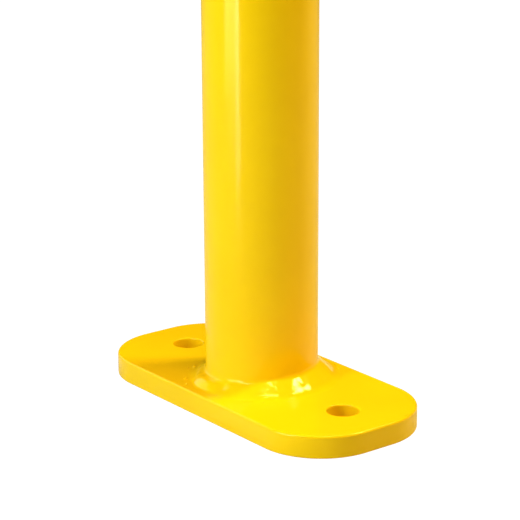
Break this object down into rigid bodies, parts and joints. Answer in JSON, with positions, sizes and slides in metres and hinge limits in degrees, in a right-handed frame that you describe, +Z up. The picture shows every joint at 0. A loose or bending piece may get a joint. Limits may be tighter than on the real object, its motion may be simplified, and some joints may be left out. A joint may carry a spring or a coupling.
{
  "type": "safety bollard",
  "caption": "Slim round steel safety post welded upright to a flat base plate with rounded ends, closed by a domed cap, bolted down through holes at each end of the plate.",
  "frame": {"origin": "centre of the base plate's underside, on the floor", "axes": "+Z up along the post, +X along the base plate's long side, through both anchor holes"},
  "size_m": [0.16, 0.075, 1],
  "materials": {
    "powder_coat": "gloss traffic-yellow powder coat on steel"
  },
  "bodies": {
    "root": {"base_plate": "powder_coat", "post_tube": "powder_coat", "foot_weld": "powder_coat", "top_cap": "powder_coat", "cap_weld": "powder_coat"}
  },
  "joints": []
}
